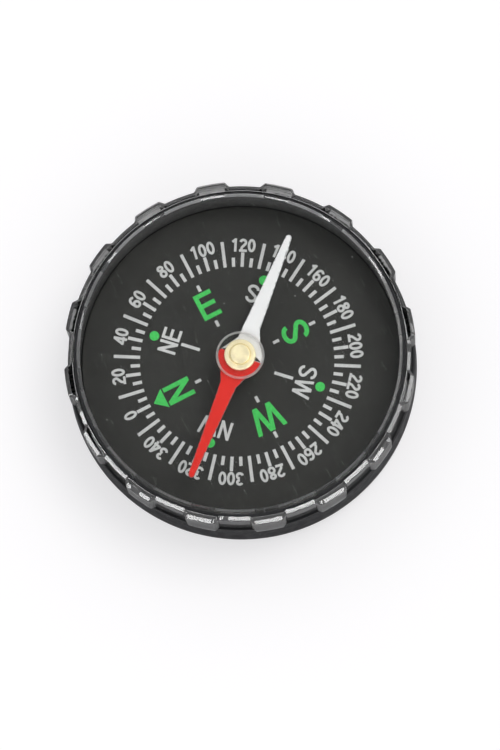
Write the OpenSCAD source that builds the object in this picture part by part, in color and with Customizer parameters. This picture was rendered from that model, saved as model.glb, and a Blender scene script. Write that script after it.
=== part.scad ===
// Pocket compass: a black cup, a clear cover with grip lobes, a printed dial and a needle on a point.
// Millimetres. The origin is the middle of the underside, +Z is up and the dial's north is along +Y.
// A bearing is counted clockwise from north, seen from above, as on the dial itself.

/* [Case] */
// Diameter over the widest part of the cup's wall
case_d = 45; // [40:0.5:60]
// Height of the ledge that carries the cover
case_h = 6.8; // [6.2:0.1:8]
// Thickness of the cup's floor
floor_t = 1.4; // [1:0.1:2]
// Thickness of the cup's wall at the ledge
wall_t = 1.6; // [1.4:0.1:2.4]
// Radius of the rounded edge between the floor and the wall
case_edge_r = 2.4; // [0.8:0.1:2.7]
// How far the wall leans in between its widest part and the ledge
wall_lean = 0.2; // [0:0.05:0.6]
// Thickness of the neck that stands on the ledge's inner edge, inside the cover
neck_t = 0.6; // [0.4:0.05:0.8]
// Width of the flat ring on the underside that the compass rests on
rest_ring_w = 4.7; // [2:0.1:10]
// Depth of the underside's centre recess
underside_recess_depth = 0.3; // [0.1:0.05:0.5]

/* [Cover] */
// How far the grip lobes stand out over the ledge
lobe_overhang = 0.15; // [0:0.05:0.4]
// Depth of the recesses between the lobes
lobe_relief = 0.6; // [0.4:0.05:0.7]
// Number of grip lobes
lobe_count = 16; // [6:1:24]
// Width of a lobe at its foot, in degrees of the rim
lobe_foot_angle = 12; // [6:0.5:14]
// Width of a lobe at its crest, in degrees of the rim
lobe_crest_angle = 9; // [4:0.5:12]
// Bearing of the first lobe's middle, in degrees
lobe_start = -5; // [-11:0.5:11]
// Height of the cover's rim above the ledge
rim_h = 5.2; // [4.8:0.1:6.4]
// Thickness of the clear window
window_t = 1.0; // [0.6:0.05:1.4]
// Depth of the window's face below the top of the rim
window_recess = 0.35; // [0.1:0.05:0.4]
// Width of the rim's flat top, where it is narrowest
rim_land = 0.6; // [0.1:0.05:1]
// Width of the bevel round the cover's top edge
cover_bevel = 0.5; // [0.2:0.05:0.8]
// Radial clearance between the neck and the cover's bore
neck_clearance = 0.1; // [0.02:0.01:0.15]
// Gap between the neck's top and the window
neck_gap = 0.15; // [0.05:0.05:0.5]
// Clearance between the needle's cap and the window
headroom = 0.25; // [0.1:0.05:1]

/* [Dial] */
// Thickness of the dial disc
dial_t = 0.5; // [0.3:0.05:1]
// Radial clearance between the dial disc and the mouth
dial_clearance = 0.2; // [0.1:0.05:0.4]
// Radial clearance between the dial's hole and the bush
hole_clearance = 0.3; // [0.1:0.05:1]
// Thickness of the adhesive ring
adhesive_t = 0.1; // [0.05:0.05:0.2]
// Width of the seat under the dial's edge
seat_w = 1.6; // [1:0.1:3]
// Thickness of the printed marks
ink_t = 0.05; // [0.03:0.01:0.1]
// How far the print lies off the dial's centre
print_shift = 0.55; // [0:0.05:1.2]
// Bearing towards which the print is shifted
print_shift_bearing = 30; // [0:1:359]

/* [Scale] */
// Radius at which every mark of the scale starts
scale_r = 12.5; // [11:0.1:14]
// Length of the long marks
tick_long_l = 3.4; // [2:0.1:4]
// Length of the medium marks
tick_medium_l = 1.9; // [1.3:0.1:2.2]
// Length of the short marks
tick_short_l = 1.2; // [0.5:0.1:1.8]
// Width of the long and medium marks
tick_w = 0.42; // [0.2:0.02:0.6]
// Width of the short marks
tick_short_w = 0.42; // [0.2:0.02:0.6]
// Gap between a medium mark and its number
number_gap = 0.08; // [0.02:0.01:0.3]
// Step from one number to the next, in degrees
number_step = 20; // [20:20:60]
// Height of the numbers
digit_h = 1.75; // [1:0.05:2]
// Width of one digit
digit_w = 1.02; // [0.8:0.02:1.1]
// Gap between digits
digit_gap = 0.08; // [0.05:0.01:0.3]
// Stroke of the digits
digit_pen = 0.32; // [0.15:0.01:0.34]

/* [Compass points] */
// Gap between the arrowhead's point and the scale
arrow_gap = 0.5; // [0.1:0.1:1]
// Height of the cardinal letters
cardinal_h = 3.6; // [2.5:0.1:4]
// Width of the cardinal letters N, E and S
cardinal_w = 2.5; // [1.8:0.1:3]
// Stroke of the cardinal letters
cardinal_pen = 0.58; // [0.3:0.02:0.7]
// Width of the arrowhead outside the N
arrow_w = 2.7; // [1.5:0.1:3]
// Length of the arrowhead
arrow_l = 1.6; // [1:0.1:1.8]
// Gap between a cardinal letter and the mark outside it
outer_gap = 0.2; // [0.1:0.05:0.4]
// Gap between a cardinal letter and the dash inside it
inner_gap = 0.55; // [0.1:0.05:0.8]
// Height of the intercardinal letters
between_h = 2.4; // [1.8:0.1:2.5]
// Width of one narrow intercardinal letter
between_w = 1.52; // [1.2:0.02:1.8]
// Stroke of the intercardinal letters
between_pen = 0.36; // [0.2:0.02:0.5]
// Length of the radial dashes
dash_l = 0.85; // [0.4:0.05:1]
// Length of the intercardinal lines
line_l = 2.5; // [1.5:0.1:2.6]
// Gap between an intercardinal line and its letters
line_gap = 0.35; // [0.1:0.05:0.6]
// Width of the dashes and lines
rose_w = 0.4; // [0.2:0.02:0.6]
// Diameter of the luminous dots
dot_d = 1.25; // [0.6:0.05:1.6]
// Gap between a luminous dot and the scale
dot_gap = 0.68; // [0.1:0.02:1]
// Gap between a luminous dot and its letters
dot_letter_gap = 0.28; // [0.1:0.02:0.6]

/* [Needle] */
// Length over both tips of the needle
needle_l = 34; // [24:0.5:36]
// Width of the needle where its arms leave the middle disc
needle_root_w = 2.3; // [1.5:0.1:3.4]
// Width of the needle near its tips
needle_tip_w = 0.8; // [0.5:0.05:1.2]
// Thickness of the steel blade
blade_t = 0.2; // [0.15:0.01:0.3]
// Diameter of the blade's middle disc
needle_disc_d = 5.8; // [4.8:0.1:6]
// Distance from the needle's axis to the flat that was clipped off the disc to balance it
balance_flat_reach = 2.15; // [1.9:0.05:2.4]
// Bearing of the clipped flat from the red end, in degrees
balance_flat_bearing = 124; // [100:1:140]
// Length of the blend between the disc and each arm
shoulder_l = 1.4; // [0.4:0.1:2]
// Thickness of the enamel
paint_t = 0.05; // [0.03:0.01:0.1]
// Height of the blade's underside above the dial
needle_rise = 3.3; // [2:0.05:3.8]
// Bearing that the red end points to in the rest pose, in degrees
needle_bearing = 319; // [0:1:359]

/* [Hub and pivot] */
// Diameter of the jewel, and of the ferrule's bore that holds it
jewel_d = 1.8; // [1.5:0.05:2]
// Thickness of the ferrule's wall
barrel_wall = 0.25; // [0.15:0.05:0.4]
// Height of the jewel
jewel_h = 0.75; // [0.6:0.05:0.9]
// Diameter of the clear washer
flange_d = 6.2; // [6:0.1:7]
// Thickness of the clear washer
flange_t = 0.2; // [0.15:0.05:0.4]
// Height of the bead round the clear washer
flange_bead_h = 0.15; // [0.05:0.05:0.25]
// Diameter of the cap
cap_d = 4.0; // [3.4:0.1:4.8]
// Height of the cap's shoulder
cap_h = 0.6; // [0.5:0.05:0.7]
// Diameter of the cap's raised button
button_d = 2.5; // [2:0.05:3]
// Height of the cap's raised button
button_h = 0.25; // [0.1:0.05:0.3]
// Diameter of the pivot pin
pin_d = 0.8; // [0.5:0.05:1]
// Length of the pin's conical point
pin_cone_l = 1.1; // [0.8:0.1:1.5]
// Diameter of the flat at the very end of the point
pin_flat_d = 0.08; // [0.04:0.01:0.12]
// Gap between the point and the bottom of the jewel's cup
pivot_gap = 0.03; // [0.01:0.01:0.05]
// Thickness of the bush's wall
bush_wall = 0.5; // [0.3:0.1:0.8]
// Thickness of the boss round the bush
boss_wall = 1.3; // [0.9:0.1:2.5]

/* [Hidden] */
$fn = 180;

// Colours
black_plastic = [0.06, 0.06, 0.065];
clear_plastic = [0.85, 0.9, 0.92, 0.35];
dial_black = [0.12, 0.12, 0.11];
print_white = [0.9, 0.91, 0.9];
glow_green = [0.3, 0.85, 0.4];
enamel_red = [0.85, 0.14, 0.1];
enamel_white = [0.97, 0.97, 0.96];
steel = [0.6, 0.62, 0.65];
brass = [0.85, 0.72, 0.42];
pale_brass = [0.93, 0.86, 0.66];
amber = [0.75, 0.5, 0.25];

// One overrun for every cut
cut = 0.4;
full_turn = 360;
half_turn = full_turn / 2;

// Heights of the stack, from the cover's top down to the dial's seat
cover_top = case_h + rim_h;
window_top = cover_top - window_recess;
window_z = window_top - window_t;
button_top = window_z - headroom;
shoulder_top = button_top - button_h;
flange_top = shoulder_top - cap_h;
paint_top = flange_top - flange_t;
blade_top = paint_top - paint_t;
blade_z = blade_top - blade_t;
dial_top = blade_z - needle_rise;
dial_z = dial_top - dial_t;
dial_seat_h = dial_z - adhesive_t;

// Radii
case_r = case_d / 2;
ledge_r = case_r - wall_lean;
lobe_r = ledge_r + lobe_overhang;
recess_r = lobe_r - lobe_relief;
window_r = recess_r - cover_bevel - rim_land - window_recess;
mouth_r = ledge_r - wall_t;
neck_r = mouth_r + neck_t;
cover_bore_r = neck_r + neck_clearance;
dial_r = mouth_r - dial_clearance;
seat_r = dial_r - seat_w;
barrel_d = jewel_d + 2 * barrel_wall;
barrel_r = barrel_d / 2;
bush_d = pin_d + 2 * bush_wall;
boss_d = bush_d + 2 * boss_wall;
dial_hole_d = bush_d + 2 * hole_clearance;
underside_recess_r = case_r - case_edge_r - rest_ring_w;

// The cup: its widest height, bevels, ribs under the dial and the mark where it was moulded
widest_share = 0.45;
case_widest_z = case_h * widest_share;
mouth_bevel = 0.2;
ledge_edge_r = 0.15;
neck_top = window_z - neck_gap;
neck_edge = 0.15;
lobe_pitch = full_turn / lobe_count;
boss_rib_count = 4;
boss_rib_t = 0.9;
boss_rib_r = 12;
boss_rib_drop = 1.5;
boss_gap = 0.1;
gate_mark_d = 2.2;
gate_mark_depth = 0.15;

// The pin's seat in the bush, and the bush in the boss
bush_rise = 1.2;
bush_floor = 0.7;
bush_foot_w = 0.6;
bush_foot_t = 0.5;
bush_foot_d = bush_d + 2 * bush_foot_w;
pin_seat_h = 0.4;

// The ferrule under the blade and the room that the jewel's cup leaves round the point
rivet_w = 0.55;
rivet_t = 0.25;
rivet_d = barrel_d + 2 * rivet_w;
barrel_drop = 0.45;
barrel_rise_share = 0.8;
jewel_lip = 0.25;
jewel_cup_d = jewel_d - 2 * jewel_lip;
point_room = 0.08;
jewel_cup_floor_d = pin_flat_d + 2 * point_room;
jewel_roof = 0.2;
cap_edge = 0.2;
button_edge = 0.12;
bead_w = 0.28;
barrel_top = flange_top + cap_h * barrel_rise_share;
jewel_top = barrel_top - paint_t;
jewel_z = jewel_top - jewel_h;
point_z = jewel_top - jewel_roof - pivot_gap;
pin_z = floor_t + pin_seat_h;

// The needle's arms start inside the disc, and taper to rounded tips
needle_half_l = needle_l / 2;
disc_r = needle_disc_d / 2;
arm_root_share = 0.45;
arm_root_y = needle_disc_d * arm_root_share;
tip_r = needle_tip_w / 2;
tip_y = needle_half_l - tip_r;
shoulder_y = disc_r + shoulder_l;
shoulder_foot_share = 0.34;
shoulder_top_share = 0.9;

// The dial's marks, placed from the scale inwards
tick_angle = 5;
short_tick_turn = 2 * tick_angle;
number_r = scale_r + tick_medium_l + number_gap;
outer_dash_r = scale_r - arrow_gap - arrow_l;
cardinal_r = outer_dash_r - outer_gap - cardinal_h;
dash_r = cardinal_r - inner_gap - dash_l;
dot_r = scale_r - dot_gap - dot_d / 2;
between_r = dot_r - dot_d / 2 - dot_letter_gap - between_h;
line_r = between_r - line_gap - line_l;
quarters = 4;
quarter_turn = full_turn / quarters;
between_start = quarter_turn / 2;
curve_steps = 14;
wide_letter_share = 1.62;
letter_gap_share = 0.14;

// A closed oval and an open arc, as lists of points
function oval(cx, cy, rx, ry) =
    [for (i = [0 : 2 * curve_steps - 1])
        let (a = full_turn * i / (2 * curve_steps))
        [cx + rx * cos(a), cy + ry * sin(a)]];
function arc(cx, cy, rx, ry, from, to) =
    [for (i = [0 : curve_steps])
        let (a = from + (to - from) * i / curve_steps)
        [cx + rx * cos(a), cy + ry * sin(a)]];

// The direction across a pen stroke at one of its points, long enough to keep the stroke's width
function heading(a, b) = (b - a) / norm(b - a);
function across(v) = [-v[1], v[0]];
function mitre(v1, v2) =
    let (n = across(v1) + across(v2))
    2 * n / (n * n);
function open_normals(p) =
    let (last = len(p) - 1)
    [for (i = [0 : last])
        let (before = heading(p[max(i - 1, 0)], p[max(i, 1)]))
        let (after = heading(p[min(i, last - 1)], p[min(i + 1, last)]))
        mitre(before, after)];
function loop_normals(p) =
    let (count = len(p))
    [for (i = [0 : count - 1])
        let (before = heading(p[(i + count - 1) % count], p[i]))
        let (after = heading(p[i], p[(i + 1) % count]))
        mitre(before, after)];
function shifted(p, normals, d) = [for (i = [0 : len(p) - 1]) p[i] + normals[i] * d];
function backwards(p) = [for (i = [len(p) - 1 : -1 : 0]) p[i]];

// The centre lines of the digits, for a box of w by h and a pen p
function digit_loops(d, w, h, p) =
    d == "0" ? [oval(w / 2, h / 2, w / 2 - p / 2, h / 2 - p / 2)] :
    d == "6" ? [oval(w / 2, h * 0.31, w / 2 - p / 2, h * 0.31 - p / 2)] :
    d == "8" ? [
        oval(w / 2, h * 0.76, w * 0.45 - p / 2, h * 0.24 - p / 2),
        oval(w / 2, h * 0.3, w / 2 - p / 2, h * 0.3 - p / 2)
    ] :
    [];
function digit_lines(d, w, h, p) =
    d == "1" ? [
        [[w * 0.6, 0], [w * 0.6, h]],
        [[w * 0.6, h - p * 0.4], [w * 0.2, h * 0.72]]
    ] :
    d == "2" ? [
        concat(
            arc(w / 2, h * 0.71, w / 2 - p / 2, h * 0.29 - p / 2, 170, -20),
            [[w * 0.34, h * 0.33], [p * 0.85, p * 0.6]]
        ),
        [[0, p / 2], [w, p / 2]]
    ] :
    d == "3" ? [
        arc(w * 0.46, h * 0.75, w * 0.46 - p / 2, h * 0.25 - p / 2, 165, -90),
        arc(w * 0.48, h * 0.28, w * 0.52 - p / 2, h * 0.28 - p / 2, 90, -165)
    ] :
    d == "4" ? [
        [[w * 0.74, 0], [w * 0.74, h]],
        [[0, h * 0.27], [w, h * 0.27]],
        [[w * 0.7, h - p * 0.3], [p * 0.45, h * 0.27]]
    ] :
    d == "6" ? [
        concat(
            arc(w * 0.56, h * 0.6, w * 0.56 - p / 2, h * 0.4 - p / 2, 40, 180),
            [[p / 2, h * 0.31]]
        )
    ] :
    [];

// The centre lines of the letters, which overrun their box and are cut off by it
function letter_lines(c, w, h, p) =
    c == "N" ? [
        [[p / 2, 0], [p / 2, h]],
        [[w - p / 2, 0], [w - p / 2, h]],
        [[p * 0.1, h + p / 2], [w - p * 0.1, -p / 2]]
    ] :
    c == "E" ? [
        [[p / 2, 0], [p / 2, h]],
        [[0, p / 2], [w, p / 2]],
        [[0, h * 0.52], [w * 0.94, h * 0.52]],
        [[0, h - p / 2], [w * 0.97, h - p / 2]]
    ] :
    c == "S" ? [
        concat(
            arc(w / 2, h * 0.74, w / 2 - p / 2, h * 0.26 - p / 2, -2, 250),
            arc(w / 2, h * 0.27, w / 2 - p / 2, h * 0.27 - p / 2, 70, -182)
        )
    ] :
    c == "W" ? [
        [[p * 0.2, h + p], [w * 0.3, -p]],
        [[w * 0.24, -p], [w * 0.52, h + p]],
        [[w * 0.48, h + p], [w * 0.76, -p]],
        [[w * 0.7, -p], [w - p * 0.2, h + p]]
    ] :
    [];
function letter_width(c, w) = c == "W" ? w * wide_letter_share : w;

// Moves to a bearing and turns the top of what is drawn there outwards
module at_bearing(bearing, radius) {
    rotate(-bearing)
        translate([0, radius])
            children();
}

// One pen stroke along open or closed points
module pen_line(points, pen) {
    normals = open_normals(points);
    polygon(concat(shifted(points, normals, pen / 2), backwards(shifted(points, normals, -pen / 2))));
}
module pen_loop(points, pen) {
    normals = loop_normals(points);
    difference() {
        polygon(shifted(points, normals, -pen / 2));
        polygon(shifted(points, normals, pen / 2));
    }
}

// One digit with its left edge at x = 0
module digit(d) {
    intersection() {
        square([digit_w, digit_h]);
        union() {
            for (line = digit_lines(d, digit_w, digit_h, digit_pen))
                pen_line(line, digit_pen);
            for (loop = digit_loops(d, digit_w, digit_h, digit_pen))
                pen_loop(loop, digit_pen);
        }
    }
}

// A number, centred on its line
module number_text(value) {
    digits = str(value);
    pitch = digit_w + digit_gap;
    width = len(digits) * pitch - digit_gap;
    for (i = [0 : len(digits) - 1])
        translate([i * pitch - width / 2, 0])
            digit(digits[i]);
}

// One letter with its left edge at x = 0
module letter(c, w, h, pen) {
    intersection() {
        square([w, h]);
        for (line = letter_lines(c, w, h, pen))
            pen_line(line, pen);
    }
}

// A pair of letters, centred on its line
module letter_pair(pair, w, h, pen) {
    first_w = letter_width(pair[0], w);
    second_w = letter_width(pair[1], w);
    gap = w * letter_gap_share;
    translate([-(first_w + gap + second_w) / 2, 0]) {
        letter(pair[0], first_w, h, pen);
        translate([first_w + gap, 0])
            letter(pair[1], second_w, h, pen);
    }
}

// Ink lies on the dial's face, a little off its centre
module ink() {
    shift = [sin(print_shift_bearing), cos(print_shift_bearing)] * print_shift;
    translate([0, 0, dial_top])
        linear_extrude(ink_t)
            translate(shift)
                children();
}
module radial_mark(bearing, radius, length, width) {
    at_bearing(bearing, radius)
        translate([-width / 2, 0])
            square([width, length]);
}

// The black cup
module case_wall_profile() {
    square([case_r - case_edge_r, case_h]);
    translate([case_r - case_edge_r, case_edge_r])
        circle(r = case_edge_r);
    polygon([
        [0, case_edge_r],
        [case_r, case_edge_r],
        [case_r, case_widest_z],
        [ledge_r, case_h - ledge_edge_r],
        [ledge_r - ledge_edge_r, case_h],
        [neck_r, case_h],
        [neck_r, neck_top - neck_edge],
        [neck_r - neck_edge, neck_top],
        [0, neck_top]
    ]);
}
module case_hollow_profile() {
    translate([0, floor_t])
        square([seat_r, cover_top]);
    translate([0, dial_seat_h])
        square([mouth_r, cover_top]);
    polygon([
        [0, neck_top - mouth_bevel],
        [mouth_r, neck_top - mouth_bevel],
        [mouth_r + mouth_bevel + cut, neck_top + cut],
        [0, neck_top + cut]
    ]);
}
module boss() {
    translate([0, 0, floor_t / 2])
        cylinder(d = boss_d, h = dial_z - boss_gap - floor_t / 2);
    intersection() {
        cylinder(r = boss_rib_r, h = dial_seat_h - boss_rib_drop);
        for (i = [0 : boss_rib_count - 1])
            rotate(i * full_turn / boss_rib_count)
                translate([-boss_rib_t / 2, 0, floor_t / 2])
                    cube([boss_rib_t, boss_rib_r, dial_seat_h]);
    }
}
module case_base() {
    color(black_plastic)
        difference() {
            union() {
                rotate_extrude()
                    difference() {
                        case_wall_profile();
                        case_hollow_profile();
                    }
                boss();
            }
            translate([0, 0, -cut])
                cylinder(r = underside_recess_r, h = underside_recess_depth + cut);
            translate([0, 0, -cut])
                cylinder(d = gate_mark_d, h = underside_recess_depth + gate_mark_depth + cut);
            translate([0, 0, pin_z - bush_floor])
                cylinder(d = bush_foot_d, h = bush_foot_t);
            translate([0, 0, pin_z - bush_floor])
                cylinder(d = bush_d, h = dial_top);
        }
}

// The clear cover: a cap with a recessed window, and lobes cut from a wider bevelled rim
module rim_profile(radius) {
    polygon([
        [0, case_h],
        [radius, case_h],
        [radius, cover_top - cover_bevel],
        [radius - cover_bevel, cover_top],
        [0, cover_top]
    ]);
}
module lobe_outline() {
    foot = lobe_foot_angle / 2;
    crest = lobe_crest_angle / 2;
    near = (recess_r + cover_bore_r) / 2;
    far = lobe_r + cut;
    polygon([
        [0, 0],
        [near * sin(-foot), near * cos(foot)],
        [far * sin(-crest), far * cos(crest)],
        [far * sin(crest), far * cos(crest)],
        [near * sin(foot), near * cos(foot)]
    ]);
}
module clear_cover() {
    color(clear_plastic)
        difference() {
            union() {
                rotate_extrude()
                    rim_profile(recess_r);
                intersection() {
                    rotate_extrude()
                        rim_profile(lobe_r);
                    for (i = [0 : lobe_count - 1])
                        rotate(-lobe_start - i * lobe_pitch)
                            translate([0, 0, case_h])
                                linear_extrude(rim_h)
                                    lobe_outline();
                }
            }
            translate([0, 0, case_h - cut])
                cylinder(r = cover_bore_r, h = window_z - case_h + cut);
            translate([0, 0, window_top])
                cylinder(r1 = window_r, r2 = window_r + 2 * window_recess, h = 2 * window_recess);
        }
}

// The dial and what holds it
module dial_plate() {
    color(dial_black)
        translate([0, 0, dial_z])
            difference() {
                cylinder(r = dial_r, h = dial_t);
                translate([0, 0, -cut])
                    cylinder(d = dial_hole_d, h = dial_t + 2 * cut);
            }
}
module dial_adhesive_ring() {
    color(amber)
        translate([0, 0, dial_seat_h])
            difference() {
                cylinder(r = dial_r, h = adhesive_t);
                translate([0, 0, -cut])
                    cylinder(r = seat_r, h = adhesive_t + 2 * cut);
            }
}

// The scale
module ticks_short() {
    color(print_white)
        ink()
            for (bearing = [tick_angle : short_tick_turn : full_turn - tick_angle])
                radial_mark(bearing, scale_r, tick_short_l, tick_short_w);
}
module ticks_medium() {
    color(print_white)
        ink()
            for (bearing = [0 : number_step : full_turn - number_step])
                radial_mark(bearing, scale_r, tick_medium_l, tick_w);
}
module ticks_long() {
    color(print_white)
        ink()
            for (bearing = [number_step / 2 : number_step : full_turn - number_step / 2])
                radial_mark(bearing, scale_r, tick_long_l, tick_w);
}
module numerals() {
    color(print_white)
        ink()
            for (bearing = [0 : number_step : full_turn - number_step])
                at_bearing(bearing, number_r)
                    number_text(bearing);
}

// The compass points
module cardinal_letters() {
    letters = "NESW";
    color(glow_green)
        ink()
            for (i = [0 : len(letters) - 1])
                let (width = letter_width(letters[i], cardinal_w))
                    at_bearing(i * quarter_turn, cardinal_r)
                        translate([-width / 2, 0])
                            letter(letters[i], width, cardinal_h, cardinal_pen);
}
module north_arrow() {
    color(glow_green)
        ink()
            at_bearing(0, outer_dash_r)
                polygon([[-arrow_w / 2, 0], [arrow_w / 2, 0], [0, arrow_l]]);
}
module intercardinal_letters() {
    pairs = ["NE", "SE", "SW", "NW"];
    color(print_white)
        ink()
            for (i = [0 : len(pairs) - 1])
                at_bearing(between_start + i * quarter_turn, between_r)
                    letter_pair(pairs[i], between_w, between_h, between_pen);
}
module cardinal_dashes() {
    color(print_white)
        ink() {
            for (i = [0 : quarters - 1])
                radial_mark(i * quarter_turn, dash_r, dash_l, rose_w);
            for (i = [1 : quarters - 1])
                radial_mark(i * quarter_turn, outer_dash_r, dash_l, rose_w);
        }
}
module intercardinal_lines() {
    color(print_white)
        ink()
            for (i = [0 : quarters - 1])
                radial_mark(between_start + i * quarter_turn, line_r, line_l, rose_w);
}
module luminous_dots() {
    color(glow_green)
        ink()
            for (i = [0 : quarters - 1])
                at_bearing(between_start + i * quarter_turn, dot_r)
                    circle(d = dot_d);
}

// The pivot: a brass bush with a foot, and a steel pin with a conical point
module pivot_bush() {
    color(brass)
        translate([0, 0, pin_z - bush_floor])
            difference() {
                union() {
                    cylinder(d = bush_foot_d, h = bush_foot_t);
                    cylinder(d = bush_d, h = dial_top + bush_rise - pin_z + bush_floor);
                }
                translate([0, 0, bush_floor])
                    cylinder(d = pin_d, h = dial_top + bush_rise);
            }
}
module pivot_pin() {
    color(steel)
        translate([0, 0, pin_z]) {
            cylinder(d = pin_d, h = point_z - pin_cone_l - pin_z);
            translate([0, 0, point_z - pin_cone_l - pin_z])
                cylinder(d1 = pin_d, d2 = pin_flat_d, h = pin_cone_l);
        }
}

// The needle's outline: a disc with a clipped flat, and two arms along +Y and -Y that blend into it
function arm_half_width(y) =
    let (share = (y - arm_root_y) / (tip_y - arm_root_y))
    needle_root_w / 2 * (1 - share) + tip_r * share;
module needle_arm() {
    polygon([
        [-needle_root_w / 2, 0],
        [needle_root_w / 2, 0],
        [needle_root_w / 2, arm_root_y],
        [tip_r, tip_y],
        [-tip_r, tip_y],
        [-needle_root_w / 2, arm_root_y]
    ]);
    translate([0, tip_y])
        circle(d = needle_tip_w);
}
module needle_shoulders() {
    foot = needle_disc_d * shoulder_foot_share;
    top = arm_half_width(shoulder_y) * shoulder_top_share;
    polygon([[-foot, foot], [foot, foot], [top, shoulder_y], [-top, shoulder_y]]);
}
module needle_middle() {
    difference() {
        union() {
            circle(d = needle_disc_d);
            needle_shoulders();
            rotate(half_turn)
                needle_shoulders();
        }
        at_bearing(balance_flat_bearing, balance_flat_reach)
            translate([-shoulder_y, 0])
                square(2 * shoulder_y);
    }
}
module needle_outline() {
    difference() {
        union() {
            needle_middle();
            needle_arm();
            rotate(half_turn)
                needle_arm();
        }
        circle(d = barrel_d);
    }
}
module half_needle(side) {
    intersection() {
        needle_outline();
        translate([-needle_half_l, side > 0 ? 0 : -needle_half_l])
            square([needle_l, needle_half_l]);
    }
}
module needle_blade() {
    color(steel)
        rotate(-needle_bearing)
            translate([0, 0, blade_z])
                linear_extrude(blade_t)
                    needle_outline();
}
module north_paint() {
    color(enamel_red)
        rotate(-needle_bearing)
            translate([0, 0, blade_top])
                linear_extrude(paint_t)
                    half_needle(1);
}
module south_paint() {
    color(enamel_white)
        rotate(-needle_bearing)
            translate([0, 0, blade_top])
                linear_extrude(paint_t)
                    half_needle(-1);
}

// The hub: a riveted ferrule, a cup jewel, a clear washer and a cap
module needle_hub() {
    color(brass)
        difference() {
            union() {
                translate([0, 0, blade_z - barrel_drop])
                    cylinder(d = barrel_d, h = barrel_top - blade_z + barrel_drop);
                translate([0, 0, blade_z - rivet_t])
                    cylinder(d = rivet_d, h = rivet_t);
            }
            translate([0, 0, blade_z - barrel_drop - cut])
                cylinder(d = jewel_d, h = barrel_top - blade_z + barrel_drop + 2 * cut);
        }
}
module bearing_jewel() {
    color(amber)
        translate([0, 0, jewel_z])
            difference() {
                cylinder(d = jewel_d, h = jewel_h);
                cylinder(d1 = jewel_cup_d, d2 = jewel_cup_floor_d, h = jewel_h - jewel_roof);
            }
}
module hub_flange() {
    outer = flange_d / 2;
    color(clear_plastic)
        rotate_extrude()
            polygon([
                [barrel_r, paint_top],
                [outer, paint_top],
                [outer, flange_top + flange_bead_h],
                [outer - bead_w, flange_top + flange_bead_h],
                [outer - bead_w, flange_top],
                [barrel_r, flange_top]
            ]);
}
module hub_cap() {
    outer = cap_d / 2;
    button = button_d / 2;
    color(pale_brass)
        rotate_extrude()
            polygon([
                [barrel_r, flange_top],
                [outer, flange_top],
                [outer, shoulder_top - cap_edge],
                [outer - cap_edge, shoulder_top],
                [button, shoulder_top],
                [button, button_top - button_edge],
                [button - button_edge, button_top],
                [0, button_top],
                [0, barrel_top],
                [barrel_r, barrel_top]
            ]);
}

case_base();
clear_cover();
dial_plate();
dial_adhesive_ring();
ticks_short();
ticks_medium();
ticks_long();
numerals();
cardinal_letters();
north_arrow();
intercardinal_letters();
cardinal_dashes();
intercardinal_lines();
luminous_dots();
pivot_bush();
pivot_pin();
needle_blade();
north_paint();
south_paint();
needle_hub();
bearing_jewel();
hub_flange();
hub_cap();
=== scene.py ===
# %% [markdown]
# A pocket compass, dressed for its portrait
#
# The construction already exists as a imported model: a black moulded cup, a clear cover with sixteen
# grip lobes, a printed dial and a needle that turns on a steel point. This lesson gives each piece
# its finer mesh and its finish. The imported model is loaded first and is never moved, so whatever
# is made here goes exactly where the construction says.

# %% Load the frame
from math import atan2, ceil, cos, degrees, pi, radians, sin, sqrt, tan

import bmesh
import bpy
from mathutils import Matrix, Vector


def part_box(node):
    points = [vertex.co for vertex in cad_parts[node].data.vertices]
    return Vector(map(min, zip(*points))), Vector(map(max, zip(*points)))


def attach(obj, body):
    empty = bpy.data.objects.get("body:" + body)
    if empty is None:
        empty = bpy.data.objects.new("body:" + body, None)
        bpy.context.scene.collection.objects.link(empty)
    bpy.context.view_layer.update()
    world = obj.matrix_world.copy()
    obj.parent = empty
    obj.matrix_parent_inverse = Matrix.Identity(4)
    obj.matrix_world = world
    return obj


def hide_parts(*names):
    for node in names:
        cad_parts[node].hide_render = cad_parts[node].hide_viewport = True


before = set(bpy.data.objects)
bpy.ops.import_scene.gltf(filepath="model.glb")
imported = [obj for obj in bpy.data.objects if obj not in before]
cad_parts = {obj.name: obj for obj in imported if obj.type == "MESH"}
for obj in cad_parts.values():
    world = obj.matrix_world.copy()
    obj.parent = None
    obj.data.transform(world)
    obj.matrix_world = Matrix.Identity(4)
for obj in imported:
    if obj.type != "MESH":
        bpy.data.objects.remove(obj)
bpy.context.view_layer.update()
print("nodes in the frame:", len(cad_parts))

# %% [markdown]
# Sizes are written in millimetres, because that is how such a small thing is drawn. Radii and
# heights are read from the frame wherever a node's box gives them, so that the fine meshes follow
# the construction. What a box can't tell, such as the radius of an edge, is a named value beside
# the piece that needs it.

# %% Read the main sizes from the frame
MM = 0.001


def reach(node):
    """Radius, lowest and highest height of a node, in millimetres."""
    low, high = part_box(node)
    return high.x / MM, low.z / MM, high.z / MM


case_r, case_z, neck_top = reach("case_base")
ledge_z, cover_top = reach("clear_cover")[1:]
dial_r, dial_z, dial_top = reach("dial_plate")
seat_z = reach("dial_adhesive_ring")[1]
bush_foot_r, bush_z, bush_top = reach("pivot_bush")
pin_r, pin_z, pin_top = reach("pivot_pin")
blade_z, blade_top = reach("needle_blade")[1:]
enamel_top = reach("north_paint")[2]
rivet_r, ferrule_z, ferrule_top = reach("needle_hub")
jewel_r, jewel_z, jewel_top = reach("bearing_jewel")
washer_r, washer_z, bead_top = reach("hub_flange")
cap_r, cap_z, cap_top = reach("hub_cap")
print("cup radius %.2f mm, whole height %.2f mm" % (case_r, cover_top))

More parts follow.
